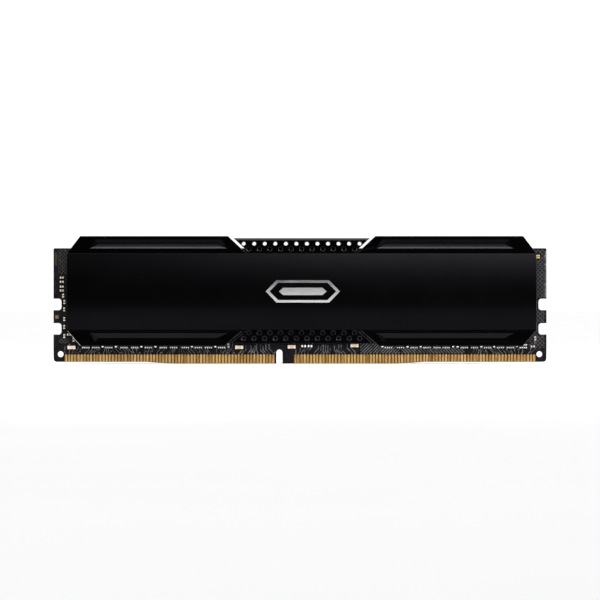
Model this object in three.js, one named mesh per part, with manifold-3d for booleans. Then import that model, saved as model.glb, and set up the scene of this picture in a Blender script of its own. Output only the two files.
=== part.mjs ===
// Desktop memory module: a circuit board with two rows of edge contacts on each face, memory chips and
// small soldered parts on its front face, a thermal pad on each face and a heat spreader on each side.
//
// Millimetres. X runs along the board, with 0 at the middle of its length. Y is the thickness, with 0 at the
// board's mid-plane and the populated front face towards -Y. Z is up, with 0 at the contact edge's lowest part.

import * as THREE from 'three';
import { ConvexGeometry } from 'three/addons/geometries/ConvexGeometry.js';
import { mergeVertices } from 'three/addons/utils/BufferGeometryUtils.js';
import Module from 'manifold-3d';

const wasm = await Module();
wasm.setup();

// Circuit board
const BOARD_LENGTH = 133.35;
const BOARD_HEIGHT = 31.25;
const BOARD_THICK = 1.4;
const BOARD_END_LIFT = 0.5;         // the contact edge's ends stand this far above its middle
const RAMP_LEFT = [25.2, 33.5];     // where the edge slopes down, from the left end
const RAMP_RIGHT = [33.3, 41.9];    // where it slopes back up, from the right end
const CORNER_LOW_RADIUS = 0.9;
const CORNER_TOP_RADIUS = 0.4;
const LATCH_NOTCHES = [[7.9, 11.0], [14.5, 17.6]];
const LATCH_DEPTH = 2.15;
const LATCH_RADIUS = 0.8;
const KEY_X = -5.575;
const KEY_WIDTH = 1.6;
const KEY_DEPTH = 3.85;
const TOOLING_HOLE_RADIUS = 0.8;
const TOOLING_HOLE_INSET = 1.9;
const TOOLING_HOLE_Z = 2.6;

// Edge contacts
const CONTACT_PITCH = 0.85;
const CONTACT_WIDTH = 0.6;
const CONTACT_TOP = 2.5;
const CONTACT_THICK = 0.05;
const CONTACT_EDGE_GAP = 0.1;       // bare board under each contact
const CONTACT_INSET = 3.35;         // first contact's centre from the board's end
const SHORT_ROW = 67;
const LONG_ROW = 77;
const TIE_HEIGHT = 0.12;            // the plating strip that joins a row along its top

// Layers on the board's faces, as distances from the mid-plane
const FACE = BOARD_THICK / 2;
const CHIP_TOP = 1.7;
const SHEET_INSIDE = 2.2;

// Memory chips and the settings chip
const CHIP_SIZE = [7.5, 11.0];
const CHIP_Z = 18.9;
const CHIP_X = [13.5, 27.5, 41.5, 55.5];
const SETTINGS_CHIP = { x: 0, z: 22.0, wide: 3.0, tall: 2.0, thick: 0.75 };
const PAD_LENGTH = 121.0;
const PAD_HEIGHT = 14.0;

// Heat spreader, in its own frame: X 0 is the middle of the sheet
const SPREADER_X = 0.45;
const SPREADER_HALF = 63.3;
const SPREADER_TOP = 34.5;
const SPREADER_TOP_HALF = 59.75;
const SPREADER_SHOULDER = 29.85;
const SPREADER_LOW = 4.8;
const SPREADER_LOW_HALF = 59.65;
const SPREADER_LOW_SHOULDER = 9.0;
const BAND_FACE = 3.3;
const PANEL_EDGE = 3.4;
const PANEL_CROWN = 4.1;
const PANEL_CROWN_Z = 16.0;         // the panel bulges most here
const PANEL_LOW = 9.2;
const PANEL_TOP = 29.85;
const PANEL_STEPS = 24;
const GROOVE_DEPTH = 0.25;
const GROOVE_RISE = 0.15;
const LIP_THICK = 0.8;
const LIP_SEAM = 0.15;
const EDGE_CHAMFER = 0.2;

// The vented tongues between the wings, with the slits at their sides
const TONGUE_FACE = 3.0;
const TONGUE_TOP = 33.94;
const TONGUE_LOW = 5.6;
const TONGUE_CHAMFER = [0.4, 0.6];  // inwards, downwards
const TONGUE_CHAMFER_SHORT = 1.15;  // from the slit's middle to the chamfer's end
const TONGUE_LIP_CLEAR = 0.5;       // below the lip's underside
const SLIT_WIDTH = 0.9;
const SLIT_TOP = { rootZ: 30.0, rootHalf: 15.07, endZ: 34.7, endHalf: 20.1 };
const SLIT_LOW = { rootZ: 9.1, rootHalf: 15.85, endZ: 4.6, endHalf: 21.08 };
const VENT_RADIUS = 0.52;
const VENT_SIDES = 12;
const VENT_PITCH = 2.85;
const DIMPLE_END = 2.5;
// Z, count and how far from the mid-plane the cut ends: the second row from the top is only dimpled
const VENT_ROWS = [[32.48, 12, 0], [31.05, 11, DIMPLE_END], [8.4, 11, 0], [6.9, 12, 0]];

// The long bevelled recess in each wing: [Z, distance from the mid-plane, X from, X to] of each long edge
const RECESS_TOP = [
  [33.57, BAND_FACE, 21.6, 55.9],
  [32.55, 2.55, 22.7, 54.8],
  [31.67, 2.98, 21.3, 56.1],
  [31.15, BAND_FACE, 20.0, 57.4],
];
const RECESS_LOW = [
  [6.04, BAND_FACE, 21.8, 55.9],
  [7.0, 2.95, 22.9, 54.8],
  [7.9, 3.16, 20.9, 56.5],
  [8.3, BAND_FACE, 19.9, 57.3],
];

// Small soldered parts: X of each resistor network, then [X, Z] of the two-ended ones
const NETWORK_SIZE = [2.0, 1.0, 0.45];
const NETWORK_Z = 4.75;
const NETWORKS_LEFT = [-57.9, -55.2, -51.7, -47.6, -44.7, -41.0, -37.0, -34.2, -31.0, -27.5, -24.75, -21.2];
const NETWORKS_RIGHT = [23.9, 27.15, 30.85, 34.35, 37.05, 39.5, 44.4, 47.2, 50.75, 54.2, 56.85, 60.35];
const CAPACITOR_SIZE = [2.1, 0.95, 0.8];
const CAPACITORS = [[-61.8, 4.42], [-16.45, 4.48], [-2.26, 4.6], [14.75, 4.95]];
const RESISTOR_SIZE = [1.15, 0.6, 0.45];
const RESISTORS_ACROSS = [[-64.4, 23.3], [-64.4, 22.15], [-64.4, 20.85], [-64.4, 19.8], [-62.5, 7.9]];
const RESISTORS_UPRIGHT = [
  [-64.05, 18.4],
  [-63.7, 16.7],
  [-63.75, 14.7],
  [-63.75, 12.1],
  [-63.75, 9.95],
  [-63.75, 7.5],
  [-61.2, 6.55],
  [-19.35, 4.95],
  [63.6, 6.85],
];
const END_CAP = 0.3;                // metal end's length, as a share of the part's length
const END_CAP_PROUD = 0.03;

const FAR = 6;                      // past every face, for cutting
const PAST = 1;                     // past the sheet's ends and edges
const CHAMFER_PAST = 0.3;           // past the tongue's face, inwards

const MATERIALS = {
  board: [0x24242c, 0.55, 0.1],
  gold: [0xd9a441, 0.3, 1.0],
  chip: [0x17171a, 0.6, 0.0],
  pad: [0x8c9097, 0.9, 0.0],
  spreader: [0x1b1b20, 0.38, 0.8],
  capacitor: [0xc8a878, 0.5, 0.0],
  network: [0x2a2a2e, 0.5, 0.0],
  resistor: [0x8a6a50, 0.5, 0.0],
};

function toSolid(geometry) {
  const bare = geometry.clone();
  bare.deleteAttribute('normal');
  bare.deleteAttribute('uv');
  const joined = mergeVertices(bare, 1e-5);
  return new wasm.Manifold(new wasm.Mesh({
    numProp: 3,
    vertProperties: Float32Array.from(joined.attributes.position.array),
    triVerts: Uint32Array.from(joined.index.array),
  }));
}

function toGeometry(solid) {
  const mesh = solid.getMesh();
  const geometry = new THREE.BufferGeometry();
  geometry.setAttribute('position', new THREE.BufferAttribute(Float32Array.from(mesh.vertProperties), 3));
  geometry.setIndex(new THREE.BufferAttribute(Uint32Array.from(mesh.triVerts), 1));
  geometry.computeVertexNormals();
  return geometry;
}

// A flat piece: an outline in X and Z, given thickness between two values of Y.
function plate(shape, yLow, yHigh, curveSegments = 8) {
  const geometry = new THREE.ExtrudeGeometry(shape, { depth: yHigh - yLow, bevelEnabled: false, curveSegments });
  geometry.rotateX(Math.PI / 2);
  geometry.translate(0, yHigh, 0);
  return geometry;
}

// A long piece: a section in Y and Z, run between two values of X.
function bar(section, xLow, xHigh) {
  const geometry = new THREE.ExtrudeGeometry(section, { depth: xHigh - xLow, bevelEnabled: false });
  const alongY = new THREE.Vector3(0, 1, 0);
  const alongZ = new THREE.Vector3(0, 0, 1);
  const alongX = new THREE.Vector3(1, 0, 0);
  geometry.applyMatrix4(new THREE.Matrix4().makeBasis(alongY, alongZ, alongX));
  geometry.translate(xLow, 0, 0);
  return geometry;
}

function outline(points) {
  return new THREE.Shape(points.map(([a, b]) => new THREE.Vector2(a, b)));
}

function block(x, z, wide, tall, yLow, yHigh) {
  const geometry = new THREE.BoxGeometry(wide, yHigh - yLow, tall);
  geometry.translate(x, (yLow + yHigh) / 2, z);
  return geometry;
}

// ---------------------------------------------------------------- circuit board

// Height of the contact edge at a point along the board.
function edgeHeight(x) {
  const fromLeft = x + BOARD_LENGTH / 2;
  const fromRight = BOARD_LENGTH / 2 - x;
  const left = (RAMP_LEFT[1] - fromLeft) / (RAMP_LEFT[1] - RAMP_LEFT[0]);
  const right = (RAMP_RIGHT[1] - fromRight) / (RAMP_RIGHT[1] - RAMP_RIGHT[0]);
  return BOARD_END_LIFT * THREE.MathUtils.clamp(Math.max(left, right), 0, 1);
}

// One latch notch in the right end, followed upwards, with round inner corners.
function latchNotch(shape, endX, [low, high]) {
  const inner = endX - LATCH_DEPTH + LATCH_RADIUS;
  shape.lineTo(endX, low);
  shape.absarc(inner, low + LATCH_RADIUS, LATCH_RADIUS, -Math.PI / 2, -Math.PI, true);
  shape.absarc(inner, high - LATCH_RADIUS, LATCH_RADIUS, Math.PI, Math.PI / 2, true);
  shape.lineTo(endX, high);
}

// The same notch in the left end, followed downwards.
function latchNotchLeft(shape, endX, [low, high]) {
  const inner = endX + LATCH_DEPTH - LATCH_RADIUS;
  shape.lineTo(endX, high);
  shape.absarc(inner, high - LATCH_RADIUS, LATCH_RADIUS, Math.PI / 2, 0, true);
  shape.absarc(inner, low + LATCH_RADIUS, LATCH_RADIUS, 0, -Math.PI / 2, true);
  shape.lineTo(endX, low);
}

function roundHole(x, z, radius) {
  const hole = new THREE.Path();
  hole.absarc(x, z, radius, 0, 2 * Math.PI, false);
  return hole;
}

function boardOutline() {
  const end = BOARD_LENGTH / 2;
  const low = CORNER_LOW_RADIUS;
  const top = CORNER_TOP_RADIUS;
  const keyHalf = KEY_WIDTH / 2;
  const shape = new THREE.Shape();
  shape.absarc(-end + low, BOARD_END_LIFT + low, low, Math.PI, 1.5 * Math.PI, false);
  shape.lineTo(-end + RAMP_LEFT[0], BOARD_END_LIFT);
  shape.lineTo(-end + RAMP_LEFT[1], 0);
  shape.lineTo(KEY_X - keyHalf, 0);
  shape.absarc(KEY_X, KEY_DEPTH - keyHalf, keyHalf, Math.PI, 0, true);
  shape.lineTo(KEY_X + keyHalf, 0);
  shape.lineTo(end - RAMP_RIGHT[1], 0);
  shape.lineTo(end - RAMP_RIGHT[0], BOARD_END_LIFT);
  shape.absarc(end - low, BOARD_END_LIFT + low, low, -0.5 * Math.PI, 0, false);
  LATCH_NOTCHES.forEach((notch) => latchNotch(shape, end, notch));
  shape.absarc(end - top, BOARD_HEIGHT - top, top, 0, 0.5 * Math.PI, false);
  shape.absarc(-end + top, BOARD_HEIGHT - top, top, 0.5 * Math.PI, Math.PI, false);
  [...LATCH_NOTCHES].reverse().forEach((notch) => latchNotchLeft(shape, -end, notch));
  const holeX = end - TOOLING_HOLE_INSET;
  shape.holes.push(roundHole(-holeX, TOOLING_HOLE_Z, TOOLING_HOLE_RADIUS));
  shape.holes.push(roundHole(holeX, TOOLING_HOLE_Z, TOOLING_HOLE_RADIUS));
  return shape;
}

function circuitBoard() {
  return plate(boardOutline(), -FACE, FACE);
}

// ---------------------------------------------------------------- edge contacts

// A row of contacts as one thin plate: a tie strip along the top with a finger at each contact.
function contactRow(firstX, count, yLow, yHigh) {
  const half = CONTACT_WIDTH / 2;
  const lastX = firstX + (count - 1) * CONTACT_PITCH;
  const points = [[firstX - half, CONTACT_TOP], [lastX + half, CONTACT_TOP]];
  for (let i = count - 1; i >= 0; i -= 1) {
    const x = firstX + i * CONTACT_PITCH;
    const foot = edgeHeight(x) + CONTACT_EDGE_GAP;
    if (i < count - 1) {
      points.push([x + half, CONTACT_TOP - TIE_HEIGHT]);
    }
    points.push([x + half, foot], [x - half, foot]);
    if (i > 0) {
      points.push([x - half, CONTACT_TOP - TIE_HEIGHT]);
    }
  }
  return plate(outline(points), yLow, yHigh);
}

// ---------------------------------------------------------------- heat spreader

// Section of the sheet: lower band, curved main panel, upper band and the lip that turns in at the top.
function sheetSection() {
  const points = [
    [-SHEET_INSIDE, SPREADER_LOW],
    [-BAND_FACE + EDGE_CHAMFER, SPREADER_LOW],
    [-BAND_FACE, SPREADER_LOW + EDGE_CHAMFER],
    [-BAND_FACE, PANEL_LOW - 2 * GROOVE_RISE],
    [-BAND_FACE + GROOVE_DEPTH, PANEL_LOW - GROOVE_RISE],
  ];
  for (let i = 0; i <= PANEL_STEPS; i += 1) {
    const z = PANEL_LOW + (PANEL_TOP - PANEL_LOW) * i / PANEL_STEPS;
    const reach = (z < PANEL_CROWN_Z ? PANEL_LOW : PANEL_TOP) - PANEL_CROWN_Z;
    const bulge = (PANEL_CROWN - PANEL_EDGE) * (1 - ((z - PANEL_CROWN_Z) / reach) ** 2);
    points.push([-PANEL_EDGE - bulge, z]);
  }
  points.push(
    [-BAND_FACE + GROOVE_DEPTH, PANEL_TOP + GROOVE_RISE],
    [-BAND_FACE, PANEL_TOP + 2 * GROOVE_RISE],
    [-BAND_FACE, SPREADER_TOP - EDGE_CHAMFER],
    [-BAND_FACE + EDGE_CHAMFER, SPREADER_TOP],
    [-LIP_SEAM, SPREADER_TOP],
    [-LIP_SEAM, SPREADER_TOP - LIP_THICK],
    [-SHEET_INSIDE, SPREADER_TOP - LIP_THICK],
  );
  return outline(points);
}

function sheetOutline() {
  const right = [
    [SPREADER_LOW_HALF, SPREADER_LOW - PAST],
    [SPREADER_LOW_HALF, SPREADER_LOW],
    [SPREADER_HALF, SPREADER_LOW_SHOULDER],
    [SPREADER_HALF, SPREADER_SHOULDER],
    [SPREADER_TOP_HALF, SPREADER_TOP],
    [SPREADER_TOP_HALF, SPREADER_TOP + PAST],
  ];
  const left = right.map(([x, z]) => [-x, z]).reverse();
  return outline([...right, ...left]);
}

// Convex cutter for one wing's recess: its long edges as given, its mouth carried past the band's face.
function recessCutter(edges, side) {
  const points = [];
  edges.forEach(([z, depth, from, to]) => {
    points.push(new THREE.Vector3(side * from, -depth, z), new THREE.Vector3(side * to, -depth, z));
    if (depth === BAND_FACE) {
      points.push(new THREE.Vector3(side * from, -FAR, z), new THREE.Vector3(side * to, -FAR, z));
    }
  });
  return toSolid(new ConvexGeometry(points));
}

// The part of the sheet between the middles of two slits, from a slit's root past the sheet's edge.
function tongueCutter(slit, zFrom, yLow, yHigh) {
  const middleAt = (z) => {
    const along = (z - slit.rootZ) / (slit.endZ - slit.rootZ);
    return slit.rootHalf + along * (slit.endHalf - slit.rootHalf) - SLIT_WIDTH / 2;
  };
  const near = middleAt(zFrom);
  const far = middleAt(slit.endZ);
  const corners = [[-near, zFrom], [near, zFrom], [far, slit.endZ], [-far, slit.endZ]];
  return toSolid(plate(outline(zFrom < slit.endZ ? corners : corners.reverse()), yLow, yHigh));
}

function slitCutter(slit, side) {
  const corners = [
    [side * slit.rootHalf, slit.rootZ],
    [side * slit.endHalf, slit.endZ],
    [side * (slit.endHalf - SLIT_WIDTH), slit.endZ],
    [side * (slit.rootHalf - SLIT_WIDTH), slit.rootZ],
  ];
  return toSolid(plate(outline(corners), -FAR, FAR));
}

function ventCutters() {
  const cutters = [];
  VENT_ROWS.forEach(([z, count, end]) => {
    for (let i = 0; i < count; i += 1) {
      const x = (i - (count - 1) / 2) * VENT_PITCH;
      const circle = new THREE.Shape();
      circle.absarc(x, z, VENT_RADIUS, 0, 2 * Math.PI, false);
      cutters.push(toSolid(plate(circle, -FAR, -end, VENT_SIDES)));
    }
  });
  return cutters;
}

// The slope along the upper tongue's top edge.
function tongueChamferCutter() {
  const [inwards, downwards] = TONGUE_CHAMFER;
  const slope = downwards / inwards;
  const rise = CHAMFER_PAST * slope;
  const corners = [
    [-TONGUE_FACE - CHAMFER_PAST, TONGUE_TOP - downwards - rise],
    [-TONGUE_FACE + inwards + CHAMFER_PAST, TONGUE_TOP + rise],
    [-TONGUE_FACE - CHAMFER_PAST, TONGUE_TOP + rise],
  ];
  const halfLength = SLIT_TOP.endHalf - SLIT_WIDTH / 2 - TONGUE_CHAMFER_SHORT;
  return toSolid(bar(outline(corners), -halfLength, halfLength));
}

// The front sheet. The rear one is the same piece turned half round about Z.
function heatSpreader() {
  let sheet = toSolid(bar(sheetSection(), -SPREADER_HALF - PAST, SPREADER_HALF + PAST));
  sheet = sheet.intersect(toSolid(plate(sheetOutline(), -FAR, FAR)));
  const cutters = [
    tongueCutter(SLIT_TOP, PANEL_TOP + 2 * GROOVE_RISE, -FAR, -TONGUE_FACE),
    tongueCutter(SLIT_TOP, TONGUE_TOP, -FAR, FAR),
    tongueCutter(SLIT_TOP, SPREADER_TOP - LIP_THICK - TONGUE_LIP_CLEAR, -SHEET_INSIDE, FAR),
    tongueCutter(SLIT_LOW, PANEL_LOW - 2 * GROOVE_RISE, -FAR, -TONGUE_FACE),
    tongueCutter(SLIT_LOW, TONGUE_LOW, -FAR, FAR),
    tongueChamferCutter(),
    ...ventCutters(),
  ];
  [-1, 1].forEach((side) => {
    cutters.push(recessCutter(RECESS_TOP, side), recessCutter(RECESS_LOW, side));
    cutters.push(slitCutter(SLIT_TOP, side), slitCutter(SLIT_LOW, side));
  });
  cutters.forEach((cutter) => {
    sheet = sheet.subtract(cutter);
  });
  return toGeometry(sheet);
}

// ---------------------------------------------------------------- soldered parts

// A two-ended part lying along X: a body between two metal ends that stand slightly proud of it.
function twoEnded([length, width, height]) {
  const bodyHalf = length * (0.5 - END_CAP);
  const wide = width / 2;
  const waist = wide - END_CAP_PROUD;
  const right = [[bodyHalf, -waist], [bodyHalf, -wide], [length / 2, -wide], [length / 2, wide], [bodyHalf, wide],
    [bodyHalf, waist]];
  const left = right.map(([x, z]) => [-x, -z]);
  return plate(outline([...right, ...left]), -FACE - height, -FACE);
}

// ---------------------------------------------------------------- assembly

const ramModule = new THREE.Group();
ramModule.name = 'ram_module';

function addPiece(name, geometry, look, { x = 0, z = 0, turnY = 0, turnZ = 0 } = {}) {
  const [color, roughness, metalness] = MATERIALS[look];
  const mesh = new THREE.Mesh(geometry, new THREE.MeshStandardMaterial({ color, roughness, metalness }));
  mesh.name = name;
  mesh.position.set(x, 0, z);
  mesh.rotation.set(0, turnY, turnZ);
  ramModule.add(mesh);
}

addPiece('circuit_board', circuitBoard(), 'board');

const SHORT_START = -BOARD_LENGTH / 2 + CONTACT_INSET;
const LONG_START = BOARD_LENGTH / 2 - CONTACT_INSET - (LONG_ROW - 1) * CONTACT_PITCH;
[['front', -FACE - CONTACT_THICK, -FACE], ['rear', FACE, FACE + CONTACT_THICK]].forEach(([side, low, high]) => {
  addPiece(`${side}_contacts_short_row`, contactRow(SHORT_START, SHORT_ROW, low, high), 'gold');
  addPiece(`${side}_contacts_long_row`, contactRow(LONG_START, LONG_ROW, low, high), 'gold');
});

[...CHIP_X.map((x) => -x).reverse(), ...CHIP_X].forEach((x, i) => {
  const chip = block(x, CHIP_Z, CHIP_SIZE[0], CHIP_SIZE[1], -CHIP_TOP, -FACE);
  addPiece(`memory_chip_${i + 1}`, chip, 'chip');
});
const { x: spdX, z: spdZ, wide: spdWide, tall: spdTall, thick: spdThick } = SETTINGS_CHIP;
addPiece('settings_chip', block(spdX, spdZ, spdWide, spdTall, -FACE - spdThick, -FACE), 'chip');

addPiece('front_thermal_pad', block(0, CHIP_Z, PAD_LENGTH, PAD_HEIGHT, -SHEET_INSIDE, -CHIP_TOP), 'pad');
addPiece('rear_thermal_pad', block(0, CHIP_Z, PAD_LENGTH, PAD_HEIGHT, FACE, SHEET_INSIDE), 'pad');

addPiece('front_heat_spreader', heatSpreader(), 'spreader', { x: SPREADER_X });
addPiece('rear_heat_spreader', heatSpreader(), 'spreader', { x: SPREADER_X, turnZ: Math.PI });

const [networkWide, networkTall, networkThick] = NETWORK_SIZE;
[...NETWORKS_LEFT, ...NETWORKS_RIGHT].forEach((x, i) => {
  const network = block(x, NETWORK_Z, networkWide, networkTall, -FACE - networkThick, -FACE);
  addPiece(`resistor_network_${i + 1}`, network, 'network');
});
CAPACITORS.forEach(([x, z], i) => {
  addPiece(`capacitor_${i + 1}`, twoEnded(CAPACITOR_SIZE), 'capacitor', { x, z });
});
RESISTORS_ACROSS.forEach(([x, z], i) => {
  addPiece(`resistor_across_${i + 1}`, twoEnded(RESISTOR_SIZE), 'resistor', { x, z });
});
RESISTORS_UPRIGHT.forEach(([x, z], i) => {
  addPiece(`resistor_upright_${i + 1}`, twoEnded(RESISTOR_SIZE), 'resistor', { x, z, turnY: Math.PI / 2 });
});

export default ramModule;
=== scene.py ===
"""Looks for a memory module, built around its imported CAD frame.

Shapes are made in millimetres: X along the board, -Y out of the front, Z up from the contact edge.
"""

import math
import random

import bmesh
import bpy
from mathutils import Matrix, Vector


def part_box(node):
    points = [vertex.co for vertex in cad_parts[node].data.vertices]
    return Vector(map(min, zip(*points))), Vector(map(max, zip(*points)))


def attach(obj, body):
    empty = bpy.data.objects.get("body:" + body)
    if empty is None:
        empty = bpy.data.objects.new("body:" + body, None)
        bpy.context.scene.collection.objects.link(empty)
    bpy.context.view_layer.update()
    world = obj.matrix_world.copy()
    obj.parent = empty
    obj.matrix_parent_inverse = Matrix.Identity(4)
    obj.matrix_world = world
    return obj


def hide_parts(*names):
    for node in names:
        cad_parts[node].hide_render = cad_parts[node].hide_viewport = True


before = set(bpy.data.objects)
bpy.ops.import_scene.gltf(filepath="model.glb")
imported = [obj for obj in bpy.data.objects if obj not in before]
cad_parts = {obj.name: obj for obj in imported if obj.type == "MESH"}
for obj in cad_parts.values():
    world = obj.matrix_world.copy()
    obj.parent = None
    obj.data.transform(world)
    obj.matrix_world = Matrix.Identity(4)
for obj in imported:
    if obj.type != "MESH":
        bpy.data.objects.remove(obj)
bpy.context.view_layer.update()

MM = 0.001
SCENE = bpy.context.scene
ROOT = "root"
FRONT, REAR = -1, 1
SIDES = (("front", FRONT), ("rear", REAR))


def span(node):
    """A CAD node's lowest and highest corners, in millimetres."""
    low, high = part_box(node)
    return Vector(low) / MM, Vector(high) / MM


# -------------------- sizes, from the CAD nodes' boxes where they give them

BOARD_HIGH = span("circuit_board")[1]
SHEET_LOW, SHEET_HIGH = span("front_heat_spreader")
SHORT_LOW, SHORT_HIGH = span("front_contacts_short_row")
LONG_LOW = span("front_contacts_long_row")[0]

FACE = BOARD_HIGH.y
END = BOARD_HIGH.x
BOARD_TOP = BOARD_HIGH.z
BOARD_SOFTENING = 0.05
BASE_CORNER, TOP_CORNER = 0.9, 0.4
END_LIFT = 0.5          # the contact edge is this much higher at the board's two ends
RAMP_LEFT = (-END + 25.2, -END + 33.5)
RAMP_RIGHT = (END - 41.9, END - 33.3)
KEY_X, KEY_HALF, KEY_DEPTH, KEY_LEAD = -5.575, 0.8, 3.85, 0.2
LATCH_NOTCHES = ((7.9, 11.0), (14.5, 17.6))
LATCH_DEPTH, LATCH_RADIUS = 2.15, 0.8
HOLE_RADIUS, HOLE_INSET, HOLE_Z = 0.8, 1.9, 2.6

PITCH, FINGER_HALF, FINGER_TOP = 0.85, 0.3, SHORT_HIGH.z
FINGER_FOOT, FINGER_CORNER = 0.1, 0.12
# a finger's section, from the board up: inset from its outline, height above the board
FINGER_LEVELS = ((0.0, 0.0), (0.0, 0.03), (0.05, 0.05), (0.16, 0.058))
BARE_HEIGHT, BARE_TOP_GAP = 0.012, 0.05
# the rows of contacts either side of the key notch: X of the first one's middle, count
ROWS = (("short", SHORT_LOW.x + FINGER_HALF, 67), ("long", LONG_LOW.x + FINGER_HALF, 77))

TRACK_HEIGHT, TRACK_SLOPE = 0.03, 0.18
FINE_TRACK_HALF, TRACK_HALF = 0.06, 0.09
FINE_BELOW = -18.0      # the tracks left of here are finer
SMALL_VIA, VIA = 0.2, 0.24
TRACKS_TOP = 6.4
TRACK_SEEDS = {FRONT: 5, REAR: 9}
UNTRACKED = 0.2         # share of the fingers with no track to be seen
# a via's section, from its rim inwards: share of its radius, height above the board
VIA_LEVELS = ((1.0, 0.0), (0.9, 0.035), (0.55, 0.035), (0.4, 0.005))
# half width of a lattice's strips, as a share of their pitch: crossing strips, strips all one way
CROSSED_HALF, PARALLEL_HALF = 0.115, 0.17
RISING, FALLING, CROSSED = (1,), (-1,), (1, -1)
SHORTEST_STRIP = 0.2
# lattice of ground copper on the board's ends, clear of the latch notches: X from, X to, Z from, Z to
RIGHT_LATTICE = (
    (63.2, 66.1, 30.0, 30.9),
    (65.2, 66.1, 28.2, 30.0),
    (63.2, 66.1, 17.9, 28.2),
    (63.2, 64.2, 7.7, 17.9),
    (64.2, 66.1, 11.3, 14.2),
    (61.9, 66.1, 4.2, 7.7),
)
LEFT_LATTICE = ((-65.4, -62.9, 24.3, 30.9), (-65.2, -62.6, 5.4, 6.9))
# the same of the slanted strips right of the lower tongue
RISING_FOOT = ((16.3, 27.0, 2.75, 5.5),)
FALLING_FOOT = ((27.4, 44.5, 2.75, 4.6),)
# stretches along X that have tracks
FRONT_TRACKS = ((-END, 15.5), (45.5, END))
REAR_TRACKS = ((-END, END),)

SHEET_X = (SHEET_LOW.x + SHEET_HIGH.x) / 2
SHEET_HALF = (SHEET_HIGH.x - SHEET_LOW.x) / 2
SHEET_TOP, SHEET_BASE = SHEET_HIGH.z, SHEET_LOW.z
TOP_HALF, BASE_HALF = SHEET_HALF - 3.55, SHEET_HALF - 3.65
BASE_SHOULDER = 9.0
# distances from the mid-plane: the sheet's inside, its bands, the panel's edges and its crown
INSIDE, BAND, PANEL_EDGE, CROWN = 2.2, 3.3, 3.4, -SHEET_LOW.y
CROWN_Z = 16.0          # the panel bulges most here
PANEL_LOW, PANEL_TOP = 9.2, 29.85
PANEL_STEPS = 48
GROOVE_DEPTH, GROOVE_RISE = 0.25, 0.15
SHEET_CORNER = 0.2
LIP_THICK, LIP_SEAM = 0.8, 0.15
TONGUE_FACE, TONGUE_TOP, TONGUE_LOW = 3.0, 33.94, 5.6
# the chamfer along the upper tongue's top: half length, and how far it reaches down and past the edge
CHAMFER_HALF, CHAMFER_DROP, CHAMFER_PAST = 18.5, 1.05, 0.45
SLIT_WIDTH = 0.9
# a slit's root and its open end: Z, and distance of its outer side from the sheet's middle
SLIT_TOP = ((30.0, 15.07), (34.7, 20.1))
SLIT_LOW = ((9.1, 15.85), (4.6, 21.08))
VENT_RADIUS, VENT_PITCH, VENT_SIDES = 0.52, 2.85, 24
RIM_WIDTH, RIM_DEPTH = 0.15, 0.13
# each row of vents: Z, count, distance from the mid-plane where they end
VENT_ROWS = ((32.48, 12, 0.0), (31.05, 11, 2.5), (8.4, 11, 0.0), (6.9, 12, 0.0))
# long edges of a wing's recess: Z, distance from the mid-plane, X from, X to
RECESS_TOP = (
    (33.57, BAND, 21.6, 55.9),
    (32.55, 2.55, 22.7, 54.8),
    (31.67, 2.98, 21.3, 56.1),
    (31.15, BAND, 20.0, 57.4),
)
RECESS_LOW = (
    (6.04, BAND, 21.8, 55.9),
    (7.0, 2.95, 22.9, 54.8),
    (7.9, 3.16, 20.9, 56.5),
    (8.3, BAND, 19.9, 57.3),
)
FAR = 8.0               # further from the mid-plane than anything on the module
SHEET_SOFTENING = 0.08
EDGE_REACH = 0.12       # how far from a sharp edge its rounded strip reaches
WIDEST_STRIP = 15.0     # the largest face, in square millimetres, that is still a rounded edge
LARGEST_GLINT_FACE = 1.0   # the same for the painted glint on the lower-left slanted corner

# the emblem's outlines: half length, half height, length of the pointed ends
EMBLEM_OUTER, EMBLEM_INNER, EMBLEM_BAR = (10.0, 3.0, 2.9), (9.0, 2.35, 2.35), (6.4, 1.0, 1.1)
EMBLEM_SUNK, EMBLEM_PROUD = -0.25, 0.02
EMBLEM_SHIFT = 0.3      # to the right of the sheet's middle, seen face on
EMBLEM_Z = (PANEL_LOW + PANEL_TOP) / 2 + 0.05
# heights where the emblem's painted shade is darkest and where it is palest
EMBLEM_DARK_Z, EMBLEM_PALE_Z = 22.5, 17.0

# length, width, height and end cap of each kind of two-ended part
CAPACITOR_SIZE = (2.1, 0.95, 0.8, 0.55)
RESISTOR_SIZE = (1.0, 0.52, 0.45, 0.33)
BRIGHT_RESISTOR_SIZE = (1.1, 0.54, 0.45, 0.42)
SMALL_RESISTOR_SIZE = (1.15, 0.62, 0.35, 0.45)
NETWORK_ENDS, NETWORK_PITCH, NETWORK_END_HALF = 4, 0.54, 0.155
# lone resistors between the networks, most of each under the heat spreader
LONE_X = (-53.4, -49.8, -42.9, -39.1, -29.25, -22.9, 22.3, 29.1, 32.65, 41.4, 42.65, 49.1, 52.5)
DULL_LONE_X = 58.65
LONE_RISE = 0.3         # above the networks' middles
BLACK_PAIR = ((1.0, 4.8), (2.7, 4.8))
RIGHT_END_RESISTOR = (62.95, 4.7)

# four gold pads: the middle of the group, each one's offset from it, half of a side
GOLD_PADS, GOLD_PAD_OFFSET, GOLD_PAD_HALF = (64.35, 29.0), 0.27, 0.22
# flat pads on the front: X from, Z from, X to, Z to
BROWN_PAD = (-66.2, 12.2, -65.3, 13.1)
BROWN_STRIP = (-66.4, 26.6, -65.7, 30.2)
RIGHT_END_STRIP = (66.2, 18.0, 66.6, 30.6)

PAD_CUTS, PAD_BULGE, PAD_WOBBLE = 11, 0.10, 0.12
BOARD_SHARE = 0.8216    # the board's length over the view's width


# -------------------- materials

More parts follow.
